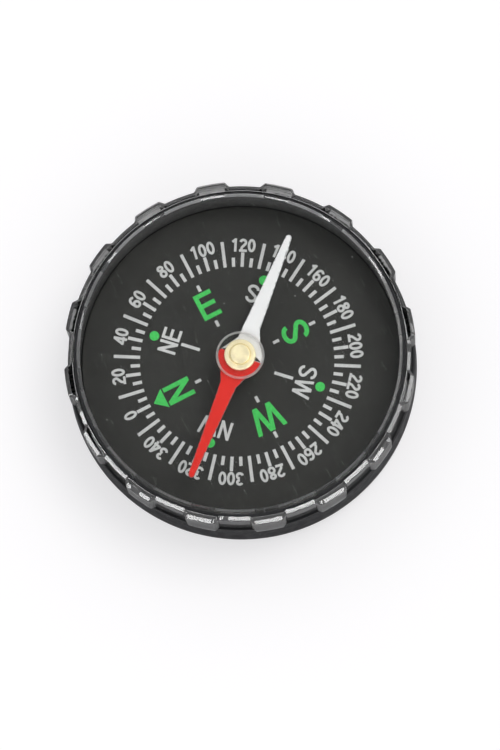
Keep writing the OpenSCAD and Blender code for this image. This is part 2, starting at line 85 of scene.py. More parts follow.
# %% [markdown]
# The camera stands almost above the compass. North on the dial points to the left of the picture
# and a little down, so the camera's place is given as on a map: the bearing that it stands at,
# counted clockwise from the dial's north, and its height as an angle. It is held a little askew, so
# the bearing that points straight up in the picture is given as well. A long lens from 60 cm away
# gives the gentle perspective of the photograph.

# %% Set up the camera
CAMERA_BEARING = 286.4
CAMERA_ELEVATION = 77.4
PICTURE_UP = 117.1
CAMERA_DISTANCE = 600
LENS = 224.2
AIM_RIGHT = 1.09
AIM_DOWN = 1.66
CLIP_START = 0.01


def direction(bearing, elevation):
    """A unit vector towards a bearing and an elevation, both in degrees."""
    b, e = radians(bearing), radians(elevation)
    return Vector((sin(b) * cos(e), cos(b) * cos(e), sin(e)))


back = direction(CAMERA_BEARING, CAMERA_ELEVATION)
right = direction(PICTURE_UP, 0).cross(back).normalized()
up = back.cross(right)
dial_centre = Vector((0, 0, dial_top)) * MM
target = dial_centre + right * AIM_RIGHT * MM - up * AIM_DOWN * MM

scene = bpy.context.scene
camera = bpy.data.objects.new("camera", bpy.data.cameras.new("camera"))
scene.collection.objects.link(camera)
camera.data.lens = LENS
camera.data.clip_start = CLIP_START
camera.location = target + back * CAMERA_DISTANCE * MM
camera.rotation_euler = Matrix((right, up, back)).transposed().to_euler()
scene.camera = camera
scene.view_settings.view_transform = "Standard"
print("camera %.0f mm from its aim" % CAMERA_DISTANCE)

# %% [markdown]
# Node trees are much easier to read when one short line makes one node. The first helper fills a
# socket: a number or colour is typed into it, and another node's output is linked to it. The second
# makes a node, sets its options and fills its inputs. The third does sums, and the last one makes
# a soft step between two values.

# %% Helpers that make one node
def fill(tree, socket, value):
    if isinstance(value, bpy.types.NodeSocket):
        tree.links.new(value, socket)
    else:
        socket.default_value = value


def add(tree, kind, inputs=None, **options):
    node = tree.nodes.new("ShaderNode" + kind)
    for name, value in options.items():
        setattr(node, name, value)
    for key, value in (inputs or {}).items():
        fill(tree, node.inputs[key], value)
    return node


def math(tree, operation, *values):
    return add(tree, "Math", dict(enumerate(values)), operation=operation).outputs[0]


def ramp(tree, value, low, high, to_low=0.0, to_high=1.0):
    """A smooth step from to_low to to_high while value goes from low to high."""
    inputs = {"From Min": low, "From Max": high, "To Min": to_low, "To Max": to_high}
    node = add(tree, "MapRange", {"Value": value, **inputs}, interpolation_type="SMOOTHSTEP")
    return node.outputs["Result"]


# %% [markdown]
# The studio is a bright pale room. Most of the light comes from all round, which is why the
# photograph's shadow is so faint, and the part of the ceiling that the clear window mirrors into
# the camera is dark, which is why the dial stays black. A world shader can do both: its brightness
# depends on how high above the horizon a ray goes.

# %% Light the room from all sides
ROOM_LEVEL = 1.07
CEILING_LEVEL = 0.08
CEILING_EDGE = (0.74, 0.92)
ROOM_TINT = (0.98, 0.985, 1.0, 1)
BACKDROP = (0.925, 0.915, 0.95, 1)

world = bpy.data.worlds.new("room")
world.use_nodes = True
scene.world = world
sky = world.node_tree
sky.nodes.clear()
height = add(sky, "SeparateXYZ", {0: add(sky, "TexCoord").outputs["Generated"]}).outputs["Z"]
level = ramp(sky, height, *CEILING_EDGE, ROOM_LEVEL, CEILING_LEVEL)
room = add(sky, "Background", {"Color": ROOM_TINT, "Strength": level})
backdrop = add(sky, "Background", {"Color": BACKDROP, "Strength": 1})
seen = add(sky, "LightPath").outputs["Is Camera Ray"]
both = add(sky, "MixShader", {0: seen, 1: room.outputs[0], 2: backdrop.outputs[0]})
add(sky, "OutputWorld", {"Surface": both.outputs[0]})
print("room level", ROOM_LEVEL)

# %% [markdown]
# One large soft lamp stands to the upper right of the picture and gives the compass its direction
# and its faint shadow at the lower left. A sun lamp with a wide angle does this evenly over the
# whole floor. Low strips round the near side put the bright line on the bevel of the cover. Seen
# from above, a bevel of 45 degrees mirrors what stands just over the horizon, and less high the
# further round it is from the camera's side. The photograph's line fades towards the right, so the
# strips there are weaker. No strip lights a matt surface, so they leave the floor even.

# %% Add the lamps
KEY_BEARING = 172
KEY_ELEVATION = 58
KEY_STRENGTH = 0.8
KEY_WIDTH = 34
KEY_COLOUR = (1, 0.985, 0.95)
STRIP_POWERS = {175: 0.3, 212: 0.4, 250: 0.8, 287: 0.8, 324: 0.8, 362: 0.7}
STRIP_ELEVATION = 13
STRIP_DISTANCE = 420
STRIP_SIZE = (250, 80)


def add_lamp(name, kind, location, **options):
    lamp = bpy.data.objects.new(name, bpy.data.lights.new(name, kind))
    scene.collection.objects.link(lamp)
    for option, value in options.items():
        setattr(lamp.data, option, value)
    lamp.location = location
    away = lamp.location - dial_centre
    lamp.rotation_euler = away.to_track_quat("Z", "Y").to_euler()
    return lamp


add_lamp(
    "key",
    "SUN",
    dial_centre + direction(KEY_BEARING, KEY_ELEVATION),
    energy=KEY_STRENGTH,
    angle=radians(KEY_WIDTH),
    color=KEY_COLOUR,
)
for bearing, power in STRIP_POWERS.items():
    elevation = STRIP_ELEVATION * cos(radians(bearing - CAMERA_BEARING))
    strip = add_lamp(
        "strip_%d" % bearing,
        "AREA",
        dial_centre + direction(bearing, elevation) * STRIP_DISTANCE * MM,
        energy=power,
        shape="RECTANGLE",
        size=STRIP_SIZE[0] * MM,
        size_y=STRIP_SIZE[1] * MM,
    )
    strip.visible_diffuse = False
print("lamps: 1 key,", len(STRIP_POWERS), "strips")

# %% [markdown]
# The floor is a wide grey sheet that must look nearly white, with a faint shadow, yet more light
# would also flood the black compass. So the sheet glows, but only for the camera and for what is
# seen through clear plastic: the glow lights nothing.

# %% Lay the floor
FLOOR_SIZE = 4000
FLOOR_COLOUR = (0.5, 0.495, 0.505, 1)
FLOOR_GLOW = 0.54
GLOW_COLOUR = (1, 0.995, 1, 1)
FLOOR_ROUGHNESS = 0.9

floor = bpy.data.objects.new("floor", bpy.data.meshes.new("floor"))
scene.collection.objects.link(floor)
half = FLOOR_SIZE / 2 * MM
corners = [(-half, -half, 0), (half, -half, 0), (half, half, 0), (-half, half, 0)]
floor.data.from_pydata(corners, [], [(0, 1, 2, 3)])
paper = bpy.data.materials.new("floor_paper")
paper.use_nodes = True
floor.data.materials.append(paper)
sheet = paper.node_tree
rays = add(sheet, "LightPath").outputs
seen = math(sheet, "MAXIMUM", rays["Is Camera Ray"], rays["Is Transmission Ray"])
looks = {
    "Base Color": FLOOR_COLOUR,
    "Roughness": FLOOR_ROUGHNESS,
    "Specular IOR Level": 0,
    "Emission Color": GLOW_COLOUR,
    "Emission Strength": math(sheet, "MULTIPLY", seen, FLOOR_GLOW),
}
for name, value in looks.items():
    fill(sheet, sheet.nodes["Principled BSDF"].inputs[name], value)
print("floor laid")

# %% [markdown]
# Most pieces of a compass are turned or moulded round, so their shape is one outline swept about
# the axis. A computer's sharp corner catches no light, and a real one always does, so each corner
# of an outline may carry a radius. Beside each rounded corner goes a support point: it keeps the
# flats flat in the smooth shading. Each point also says whether it is on an outer corner, because
# that is where hands and pockets rub, and the finishes use it later. The small radii come in a few
# grades, in millimetres, and each grade has a name.

# %% Round the corners of an outline
TINY, KEEN, FINE, CRISP, NEAT = 0.02, 0.03, 0.04, 0.05, 0.06
EASED, SOFT, ROUND, FULL = 0.08, 0.1, 0.12, 0.15
ARC_STEP = radians(12)
FEWEST_STEPS = 3
SUPPORT = 0.12
SUPPORT_SHARE = 0.4
TANGENT_RUB = 0.5


def rounded(corners):
    """Points (r, z, rub) of a closed outline, from corners (r, z) or (r, z, radius). Both go
    counter-clockwise."""
    points = [Vector(c[:2]) for c in corners]
    radii = [c[2] if len(c) > 2 else 0 for c in corners]
    count = len(corners)
    inner = [
        (points[i - 1] - points[i]).angle(points[(i + 1) % count] - points[i], 0) / 2
        for i in range(count)
    ]
    spans = [radii[i] / tan(inner[i]) if radii[i] else 0 for i in range(count)]
    outline = []
    for i in range(count):
        if not radii[i]:
            outline.append((*points[i], 0.0))
            continue
        k = (i + 1) % count
        before = (points[i - 1] - points[i]).normalized()
        after = (points[k] - points[i]).normalized()
        free_before = (points[i - 1] - points[i]).length - spans[i] - spans[i - 1]
        free_after = (points[k] - points[i]).length - spans[i] - spans[k]
        centre = points[i] + (before + after).normalized() * radii[i] / sin(inner[i])
        start = points[i] + before * spans[i] - centre
        outward = before.cross(after) < 0
        turn = (pi - 2 * inner[i]) * (1 if outward else -1)
        steps = max(FEWEST_STEPS, ceil(abs(turn) / ARC_STEP))
        support = min(SUPPORT, free_before * SUPPORT_SHARE)
        outline.append((*(points[i] + before * (spans[i] + support)), 0.0))
        for step in range(steps + 1):
            place = centre + Matrix.Rotation(turn * step / steps, 2) @ start
            rub = 1.0 if 0 < step < steps else TANGENT_RUB
            outline.append((*place, rub if outward else 0.0))
        support = min(SUPPORT, free_after * SUPPORT_SHARE)
        outline.append((*(points[i] + after * (spans[i] + support)), 0.0))
    return outline


# %% [markdown]
# The lathe sweeps an outline round the axis. It takes the outline as a function of the angle, so
# that the same lathe makes a plain disc and a rim with lobes. A point on the axis becomes one
# single vertex. The weighted normals that are added at the end let a large flat keep its own
# direction where it meets a small round edge.

# %% Turn an outline on the lathe
COLUMNS = 256
SHARP = radians(35)


def new_piece(name, bm):
    """An object from a finished bmesh, with smooth, weighted shading."""
    bmesh.ops.recalc_face_normals(bm, faces=bm.faces)
    mesh = bpy.data.meshes.new(name)
    bm.to_mesh(mesh)
    bm.free()
    mesh.shade_smooth()
    mesh.set_sharp_from_angle(angle=SHARP)
    piece = bpy.data.objects.new(name, mesh)
    scene.collection.objects.link(piece)
    normals = piece.modifiers.new("normals", "WEIGHTED_NORMAL")
    normals.keep_sharp = True
    return piece


def lathe(name, outline_at, closed, angles=None):
    """A piece swept round the axis. outline_at(angle) gives points (r, z, rub) in millimetres."""
    angles = angles or [2 * pi * j / COLUMNS for j in range(COLUMNS)]
    bm = bmesh.new()
    rub_layer = bm.verts.layers.float.new("edge")
    columns = []
    poles = {}
    for angle in angles:
        column = []
        for i, (r, z, rub) in enumerate(outline_at(angle)):
            if r == 0 and i in poles:
                column.append(poles[i])
                continue
            vert = bm.verts.new((r * cos(angle) * MM, r * sin(angle) * MM, z * MM))
            vert[rub_layer] = rub
            column.append(vert)
            if r == 0:
                poles[i] = vert
        columns.append(column)
    count = len(columns[0])
    for j, column in enumerate(columns):
        other = columns[(j + 1) % len(columns)]
        for i in range(count if closed else count - 1):
            k = (i + 1) % count
            ring = [column[i], other[i], other[k], column[k]]
            ring = [v for n, v in enumerate(ring) if v not in ring[:n]]
            if len(ring) > 2:
                bm.faces.new(ring)
    return new_piece(name, bm)


def turned(name, corners, closed=True):
    """A turned piece from corners (r, z) or (r, z, radius). An open outline ends on the axis."""
    outline = rounded(corners)
    return lathe(name, lambda angle: outline, closed)


# %% [markdown]
# Each finished piece is signed in: it rides on a body, stands for a node of the frame, and names
# the material slot it is finished as. The printed line shows how far its box is from the box of
# the node, so a wrong size is seen at once. A piece that isn't finished alike all over gets a
# further material on the faces that a test picks out by their radius, height and angle.

# %% Sign a piece in, and give some faces another finish
def sign_in(piece, body, node, material):
    piece.data.materials.append(material)
    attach(piece, body)
    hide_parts(node)
    low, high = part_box(node)
    own = [v.co for v in piece.data.vertices]
    mine = [f(v[axis] for v in own) for f in (min, max) for axis in range(3)]
    worst = max(abs(a - b) for a, b in zip(mine, (*low, *high)))
    faces = len(piece.data.polygons)
    print("%s: %d faces, %.3f mm from its node's box" % (piece.name, faces, worst / MM))


def refinish(piece, material, chosen):
    """A further material on the faces for which chosen(radius, height, angle) is true."""
    piece.data.materials.append(material)
    faces = []
    for face in piece.data.polygons:
        spot = face.center / MM
        if chosen(spot.xy.length, spot.z, atan2(spot.y, spot.x)):
            faces.append(face)
            face.material_index = len(piece.data.materials) - 1
    print("%s: %s on %d faces" % (piece.name, material.name, len(faces)))


# %% [markdown]
# No real surface has one flat colour. Six small effects are shared by the finishes, and each is
# built once, as a node group. The first lets a colour drift a little in brightness over the
# surface, as it does in every moulding, print and paint. Most of a noise lies in its middle band,
# so a ramp over that band uses its whole range.

# %% Group: tone drift
NOISE_BAND = (0.3, 0.7)
DRIFT_DETAIL = 3.0


def new_group(name, inputs, outputs):
    """A shader node group with its sockets, and its input and output nodes."""
    tree = bpy.data.node_groups.new(name, "ShaderNodeTree")
    for label, kind, value in inputs:
        socket = tree.interface.new_socket(label, in_out="INPUT", socket_type="NodeSocket" + kind)
        socket.default_value = value
    for label, kind in outputs:
        tree.interface.new_socket(label, in_out="OUTPUT", socket_type="NodeSocket" + kind)
    source = tree.nodes.new("NodeGroupInput")
    result = tree.nodes.new("NodeGroupOutput")
    return tree, source.outputs, result.inputs


def place(tree):
    """The place on the object, in millimetres."""
    spot = add(tree, "TexCoord").outputs["Object"]
    return add(tree, "VectorMath", {0: spot, "Scale": 1 / MM}, operation="SCALE").outputs[0]


def noise(tree, where, scale, detail=2.0):
    inputs = {"Vector": where, "Scale": scale, "Detail": detail}
    return add(tree, "TexNoise", inputs).outputs["Fac"]


drift, given, result = new_group(
    "tone_drift",
    [("Color", "Color", (0.5, 0.5, 0.5, 1)), ("Scale", "Float", 0.5), ("Amount", "Float", 0.1)],
    [("Color", "Color")],
)
cloud = noise(drift, place(drift), given["Scale"], DRIFT_DETAIL)
darkest = math(drift, "SUBTRACT", 1.0, given["Amount"])
lightest = math(drift, "ADD", 1.0, given["Amount"])
shade = ramp(drift, cloud, *NOISE_BAND, darkest, lightest)
shaded = add(drift, "VectorMath", {0: given["Color"], "Scale": shade}, operation="SCALE").outputs[0]
drift.links.new(shaded, result["Color"])
print("group", drift.name)

# %% [markdown]
# Plastic that lives in a pocket gets hairlines: long thin scratches that cross each other. They
# could be drawn as curves, but a noise that is stretched a hundred times along one direction and
# cut to a thin band gives them for free, and a second noise breaks the lines up.

# %% Group: hairline scratches
STRETCH = 0.012
LINE_TURNS = (20, 75, 140)
NOISE_MIDDLE = 0.5
BREAK_SCALE = 0.35
BREAK_BAND = (0.52, 0.62)


def one_way_lines(tree, where, turn, scale, width):
    """A mask of thin lines along one direction."""
    turned_place = add(
        tree,
        "Mapping",
        {"Vector": where, "Rotation": (0, 0, radians(turn)), "Scale": (STRETCH, 1, 1)},
        vector_type="POINT",
    ).outputs[0]
    value = noise(tree, turned_place, scale, 0.0)
    off = math(tree, "ABSOLUTE", math(tree, "SUBTRACT", value, NOISE_MIDDLE))
    line = ramp(tree, off, 0.0, width, 1.0, 0.0)
    broken = ramp(tree, noise(tree, where, BREAK_SCALE, 1.0), *BREAK_BAND)
    return math(tree, "MULTIPLY", line, broken)


lines, given, result = new_group(
    "hairlines", [("Scale", "Float", 3.0), ("Width", "Float", 0.004)], [("Mask", "Float")]
)
spot = place(lines)
masks = []
for turn in LINE_TURNS:
    shifted = add(lines, "VectorMath", {0: spot, 1: (turn, turn / 2, 0)}).outputs[0]
    masks.append(one_way_lines(lines, shifted, turn, given["Scale"], given["Width"]))
crossed = math(lines, "MAXIMUM", math(lines, "MAXIMUM", masks[0], masks[1]), masks[2])
lines.links.new(crossed, result["Mask"])
print("group", lines.name)

# %% [markdown]
# Dust lies on everything small and glossy. A Voronoi pattern gives one random point to each cell:
# the distance to it makes a round speck, and the cell's random colour decides whether the cell has
# a speck at all and how large it is.

# %% Group: dust specks
dust, given, result = new_group(
    "dust_specks",
    [("Scale", "Float", 1.5), ("Size", "Float", 0.1), ("Share", "Float", 0.2)],
    [("Mask", "Float")],
)
cells = add(dust, "TexVoronoi", {"Vector": place(dust), "Scale": given["Scale"]})
pick = add(dust, "SeparateColor", {0: cells.outputs["Color"]}).outputs
size = math(dust, "MULTIPLY", pick["Green"], given["Size"])
speck = math(dust, "LESS_THAN", cells.outputs["Distance"], size)
chosen = math(dust, "LESS_THAN", pick["Red"], given["Share"])
dust.links.new(math(dust, "MULTIPLY", speck, chosen), result["Mask"])
print("group", dust.name)

# %% [markdown]
# Two more effects: the fine grain that a mould, a print or a paint leaves, as a height for a bump,
# and the rub on outer corners, which reads the mark that the outline put there and breaks it up
# with noise.

# %% Groups: fine grain and edge rub
RUB_DETAIL = 4.0
RUB_START_SHARE = 0.6

grain, given, result = new_group(
    "fine_grain", [("Scale", "Float", 10.0), ("Detail", "Float", 2.0)], [("Height", "Float")]
)
grain.links.new(noise(grain, place(grain), given["Scale"], given["Detail"]), result["Height"])

rub, given, result = new_group(
    "edge_rub", [("Scale", "Float", 2.0), ("Amount", "Float", 0.5)], [("Mask", "Float")]
)
marked = add(rub, "Attribute", attribute_name="edge").outputs["Fac"]
patches = noise(rub, place(rub), given["Scale"], RUB_DETAIL)
full = math(rub, "SUBTRACT", 1.0, given["Amount"])
start = math(rub, "MULTIPLY", full, RUB_START_SHARE)
worn = ramp(rub, math(rub, "MULTIPLY", patches, marked), start, full)
rub.links.new(worn, result["Mask"])
print("groups", grain.name, rub.name)

# %% [markdown]
# Turned metal shows the tool: fine rings round the axis. The distance from the axis, fed to a noise
# as its only coordinate, gives rings of uneven width, as a real tool leaves them.

# %% Group: turning marks
rings, given, result = new_group("turning_marks", [("Pitch", "Float", 0.05)], [("Height", "Float")])
parts = add(rings, "SeparateXYZ", {0: place(rings)}).outputs
flat = add(rings, "CombineXYZ", {"X": parts["X"], "Y": parts["Y"]}).outputs[0]
radius = add(rings, "VectorMath", {0: flat}, operation="LENGTH").outputs["Value"]
steps = math(rings, "DIVIDE", radius, given["Pitch"])
wave = add(rings, "TexNoise", {"W": steps, "Scale": 1.0, "Detail": 1.0}, noise_dimensions="1D")
rings.links.new(wave.outputs["Fac"], result["Height"])
print("group", rings.name)

# %% [markdown]
# A finish starts with the same bones: a colour that drifts, a roughness that changes where the
# surface is scratched or dusty, and a bump from grain and scratches. This function builds those
# bones from the groups and returns the material, so that each finish below stays short and can
# add what is special to it. Values that are the same all over the surface go straight into the
# shader's own sockets.

# %% The bones of a finish
GRAIN_DEPTH = 0.02
ROUGH_SCALE = 3
ROUGH_DRIFT = 0.15
WORN_ROUGHNESS = 0.15
LINE_ROUGHNESS = 0.25
LINE_DEPTH_SHARE = 2
DUST_COLOUR = (0.5, 0.5, 0.48, 1)
DUST_COVER = 0.6
DUST_ROUGHNESS = 0.4


def use(tree, group, output, **inputs):
    """Places a group in a material and returns one of its outputs."""
    node = add(tree, "Group", node_tree=group)
    for name, value in inputs.items():
        fill(tree, node.inputs[name], value)
    return node.outputs[output]


def blend(tree, share, first, second):
    """A colour between two colours."""
    node = add(tree, "Mix", data_type="RGBA")
    sockets = {s.identifier: s for s in (*node.inputs, *node.outputs)}
    for name, value in (("Factor_Float", share), ("A_Color", first), ("B_Color", second)):
        fill(tree, sockets[name], value)
    return sockets["Result_Color"]


def finish(
    name,
    colour,
    roughness,
    tone=(0.4, 0.06),
    fine=(12.0, 0.1),
    scratches=(3.0, 0.0),
    specks=(1.2, 0.0),
    rubbed=None,
    plain=None,
):
    """A material. tone: scale, amount. fine: scale, bump. scratches: scale, width. specks: scale,
    share. rubbed: colour and amount of the worn corners. plain: values for the shader's sockets."""
    material = bpy.data.materials.new(name)
    material.use_nodes = True
    tree = material.node_tree
    shader = tree.nodes["Principled BSDF"]
    base = use(tree, drift, "Color", Color=(*colour, 1), Scale=tone[0], Amount=tone[1])
    patchy = noise(tree, place(tree), tone[0] * ROUGH_SCALE)
    rough = ramp(
        tree, patchy, *NOISE_BAND, roughness * (1 - ROUGH_DRIFT), roughness * (1 + ROUGH_DRIFT)
    )
    height = math(tree, "MULTIPLY", use(tree, grain, "Height", Scale=fine[0]), fine[1])
    if rubbed:
        worn = use(tree, rub, "Mask", Amount=rubbed[1])
        base = blend(tree, worn, base, (*rubbed[0], 1))
        rough = math(tree, "ADD", rough, math(tree, "MULTIPLY", worn, WORN_ROUGHNESS))
    if scratches[1]:
        lined = use(tree, lines, "Mask", Scale=scratches[0], Width=scratches[1])
        rough = math(tree, "ADD", rough, math(tree, "MULTIPLY", lined, LINE_ROUGHNESS))
        depth = math(tree, "MULTIPLY", lined, fine[1] * LINE_DEPTH_SHARE)
        height = math(tree, "SUBTRACT", height, depth)
    if specks[1]:
        dusty = use(tree, dust, "Mask", Scale=specks[0], Share=specks[1])
        base = blend(tree, math(tree, "MULTIPLY", dusty, DUST_COVER), base, DUST_COLOUR)
        rough = math(tree, "ADD", rough, math(tree, "MULTIPLY", dusty, DUST_ROUGHNESS))
    bump = add(tree, "Bump", {"Height": height, "Strength": 1.0, "Distance": GRAIN_DEPTH * MM})
    made = {"Base Color": base, "Roughness": rough, "Normal": bump.outputs[0]}
    for socket, value in {**made, **(plain or {})}.items():
        fill(tree, shader.inputs[socket], value)
    return material


# %% [markdown]
# The cup is one black glossy moulding: a rounded foot, a low wall, and a flat ledge that carries
# the cover. From the ledge's inner edge a thin neck stands up inside the cover, and its smooth
# black wall surrounds the dial. Inside are the seat for the dial and a boss with a bore for the
# pivot. On its underside the cup rests on a flat ring, and the mark of the moulding gate is left
# in the middle. All of that is one outline, from the axis below to the axis inside.

# %% Turn the cup
RECESS_R = 15.4
RECESS_DEPTH = 0.3
GATE_MARK_R = 1.1
GATE_MARK_DEPTH = 0.15
FOOT_RADIUS = 2.4
FOOT_STEPS = 14
WIDEST_Z = 3.06
WIDEST_EDGE = 1.0
LEDGE_R = 22.3
LEDGE_CHAMFER = 0.15
NECK_R = 21.3
MOUTH_R = 20.7
MOUTH_CHAMFER = 0.2
SEAT_R = 18.9
FLOOR_Z = 1.4
FLOOR_CORNER = 0.4
BOSS_R = 2.2
BOSS_FOOT = 0.3
BUSH_R = 0.9
BUSH_FOOT_H = 0.5

under = case_z + RECESS_DEPTH
foot_middle = (case_r - FOOT_RADIUS, case_z + FOOT_RADIUS)
foot_angles = [pi / 2 * step / FOOT_STEPS for step in range(FOOT_STEPS + 1)]
foot = [
    (foot_middle[0] + FOOT_RADIUS * sin(a), foot_middle[1] - FOOT_RADIUS * cos(a))
    for a in foot_angles
]
cup = turned(
    "cup",
    [
        (0, under + GATE_MARK_DEPTH),
        (GATE_MARK_R, under + GATE_MARK_DEPTH, CRISP),
        (GATE_MARK_R, under, CRISP),
        (RECESS_R, under, SOFT),
        (RECESS_R, case_z, ROUND),
        *foot,
        (case_r, WIDEST_Z, WIDEST_EDGE),
        (LEDGE_R, ledge_z - LEDGE_CHAMFER, EASED),
        (LEDGE_R - LEDGE_CHAMFER, ledge_z, EASED),
        (NECK_R, ledge_z, SOFT),
        (NECK_R, neck_top - LEDGE_CHAMFER, NEAT),
        (NECK_R - LEDGE_CHAMFER, neck_top, NEAT),
        (MOUTH_R + MOUTH_CHAMFER, neck_top, CRISP),
        (MOUTH_R, neck_top - MOUTH_CHAMFER, CRISP),
        (MOUTH_R, seat_z, EASED),
        (SEAT_R, seat_z, SOFT),
        (SEAT_R, FLOOR_Z, FLOOR_CORNER),
        (BOSS_R, FLOOR_Z, BOSS_FOOT),
        (BOSS_R, seat_z, FULL),
        (BUSH_R, seat_z, EASED),
        (BUSH_R, bush_z + BUSH_FOOT_H),
        (bush_foot_r, bush_z + BUSH_FOOT_H),
        (bush_foot_r, bush_z),
        (0, bush_z),
    ],
    closed=False,
)
print("cup: %d faces" % len(cup.data.polygons))

# %% [markdown]
# Four ribs run out from the boss over the floor. They are blocks in the cup's own mesh, with their
# ends sunk a little into the boss and the floor. A boolean could melt them in, but nobody sees the
# joint under the dial, and plain blocks can't spoil the smooth wall.

# %% Add the ribs round the boss
RIB_COUNT = 4
RIB_T = 0.9
RIB_R = 12
RIB_TOP = 3.7
SUNK = 0.4

bm = bmesh.new()
bm.from_mesh(cup.data)
rib_start = BOSS_R - SUNK
rib_bottom = FLOOR_Z - SUNK
for number in range(RIB_COUNT):
    turn = Matrix.Rotation(2 * pi * number / RIB_COUNT, 4, "Z")
    size = Matrix.Diagonal(((RIB_R - rib_start) * MM, RIB_T * MM, (RIB_TOP - rib_bottom) * MM, 1))
    move = Matrix.Translation(Vector(((RIB_R + rib_start) / 2, 0, (RIB_TOP + rib_bottom) / 2)) * MM)
    bmesh.ops.create_cube(bm, size=1, matrix=turn @ move @ size)
bm.to_mesh(cup.data)
bm.free()
cup.data.shade_smooth()
cup.data.set_sharp_from_angle(angle=SHARP)
print("cup with %d ribs: %d faces" % (RIB_COUNT, len(cup.data.polygons)))

# %% [markdown]
# The black moulding is glossy, with a few hairlines, some dust, and corners that have rubbed a
# little grey. Inside the neck, above the dial's seat, it is satin, and its black is painted lighter
# there: painted light on the inner wall.

# %% Finish the cup
WALL_SKIN = 0.05

moulded_black = finish(
    "moulded_black",
    (0.019, 0.019, 0.0205),
    roughness=0.36,
    tone=(0.3, 0.15),
    fine=(6.0, 0.05),
    scratches=(2.5, 0.004),
    specks=(1.1, 0.25),
    rubbed=((0.06, 0.06, 0.06), 0.55),
    plain={"Specular IOR Level": 0.08},
)
# The neck's lighter colour is painted light. Its higher roughness is the satin face.
neck_satin_painted_light = finish(
    "neck_satin_painted_light", (0.032, 0.032, 0.03), roughness=0.6, tone=(0.3, 0.1), fine=(6.0, 0.05)
)
sign_in(cup, "case", "case_base", moulded_black)
refinish(cup, neck_satin_painted_light, lambda r, z, angle: r < MOUTH_R + WALL_SKIN and z > seat_z + WALL_SKIN)

# %% [markdown]
# The cover is one clear moulding, a shallow cap that slips over the neck and stands on the ledge.
# The outside of its rim has sixteen lobes for the fingers. The lobes aren't separate shapes: each
# column of the lathe lies between two outlines, one through a recess and one through a lobe, and
# steps from one to the other on the lobe's flanks. The columns stand close together there and wide
# apart elsewhere.

# %% Mould the clear cover
LOBES = 16
LOBE_START = -5
LOBE_PITCH = 360 / LOBES
LOBE_CREST = 8.6
LOBE_FOOT = 12.6
LOBE_R = 22.45
VALLEY_R = 21.85
FLANK_STEPS = 10
CREST_OFFS = (0, 1.4, 2.8)
RECESS_OFFS = (8, 9.6)
COVER_BEVEL = 0.5
WINDOW_T = 1.0
WINDOW_RECESS = 0.35
WINDOW_R = 20.4
BORE_R = 21.4

window_top = cover_top - WINDOW_RECESS
window_z = window_top - WINDOW_T


def rim_corners(radius):
    """The cover's outline for one outer radius, from the axis below to the axis above."""
    return [
        (0, window_z),
        (BORE_R, window_z, SOFT),
        (BORE_R, ledge_z, CRISP),
        (radius, ledge_z, EASED),
        (radius, cover_top - COVER_BEVEL, ROUND),
        (radius - COVER_BEVEL, cover_top, ROUND),
        (WINDOW_R + WINDOW_RECESS, cover_top, NEAT),
        (WINDOW_R, window_top, SOFT),
        (0, window_top),
    ]


def off_lobe(angle):
    """Degrees from the middle of the nearest lobe. The angle is counted from +X, towards +Y."""
    bearing = 90 - degrees(angle) - LOBE_START
    return abs((bearing + LOBE_PITCH / 2) % LOBE_PITCH - LOBE_PITCH / 2)


recess_outline = rounded(rim_corners(VALLEY_R))
lobe_outline = rounded(rim_corners(LOBE_R))


def rim_at(angle):
    """The outline at an angle: a smooth step between the two outlines."""
    share = (LOBE_FOOT / 2 - off_lobe(angle)) / (LOBE_FOOT / 2 - LOBE_CREST / 2)
    share = min(max(share, 0), 1)
    share = share * share * (3 - 2 * share)
    pairs = zip(recess_outline, lobe_outline)
    return [tuple(a + (b - a) * share for a, b in zip(p, q)) for p, q in pairs]


flank_w = LOBE_FOOT - LOBE_CREST
flank = [(LOBE_CREST + flank_w * k / FLANK_STEPS) / 2 for k in range(FLANK_STEPS + 1)]
offs = [*CREST_OFFS, *flank, *RECESS_OFFS]
spread = [-off for off in offs[:0:-1]] + offs + [LOBE_PITCH / 2]
middles = [LOBE_PITCH * lobe + LOBE_START for lobe in range(LOBES)]
rim_angles = sorted(radians(90 - middle - off) for middle in middles for off in spread)
cover = lathe("cover", rim_at, closed=False, angles=rim_angles)
print("cover: %d columns" % len(rim_angles))

# %% [markdown]
# Clear acrylic bends light like glass, only a little less. Two things make it work in a closed
# compass. For lamps, the shader steps aside on shadow rays, so the light reaches the dial. It also
# steps aside for the soft light that goes from the dial back to the room. Its hairlines live in
# its roughness and its bump.

# %% Finish for clear plastic
ACRYLIC = {"Transmission Weight": 1.0, "IOR": 1.49}


def let_light_through(material):
    """Rays from lamps, and rays of soft light, pass straight through."""
    tree = material.node_tree
    shader = tree.nodes["Principled BSDF"]
    surface = shader.outputs[0]
    path = add(tree, "LightPath")
    clear = add(tree, "BsdfTransparent")
    for ray in ("Is Diffuse Ray", "Is Shadow Ray"):
        inputs = {0: path.outputs[ray], 1: surface, 2: clear.outputs[0]}
        surface = add(tree, "MixShader", inputs).outputs[0]
    tree.links.new(surface, tree.nodes["Material Output"].inputs["Surface"])
    return material


clear_acrylic = let_light_through(
    finish(
        "clear_acrylic",
        (0.98, 0.99, 0.995),
        roughness=0.03,
        tone=(0.3, 0.01),
        fine=(1.5, 0.004),
        scratches=(2.0, 0.003),
        plain=ACRYLIC,
    )
)
sign_in(cover, "case", "clear_cover", clear_acrylic)

# %% [markdown]
# The cover is held by black cement round the neck and on the ledge. Seen through the clear rim, the
# joint is what makes the edge of the compass dark. The faces of the cover that it wets, in its bore
# and on its foot, take the cement's colour. Under the lobes the foot has no cement, and its frosted
# face lightens them from below.

# %% Wet the joint with cement
JOINT_SKIN = 0.05
CEMENT_SKIN = 0.01
FROST_SKIN = 0.02


def beside_lobe(angle):
    return off_lobe(angle) < LOBE_CREST / 2


def in_joint(r, z, angle):
    """Faces in the bore and on the foot."""
    in_bore = r < BORE_R + JOINT_SKIN and z < window_z - JOINT_SKIN
    return in_bore or z < ledge_z + CEMENT_SKIN


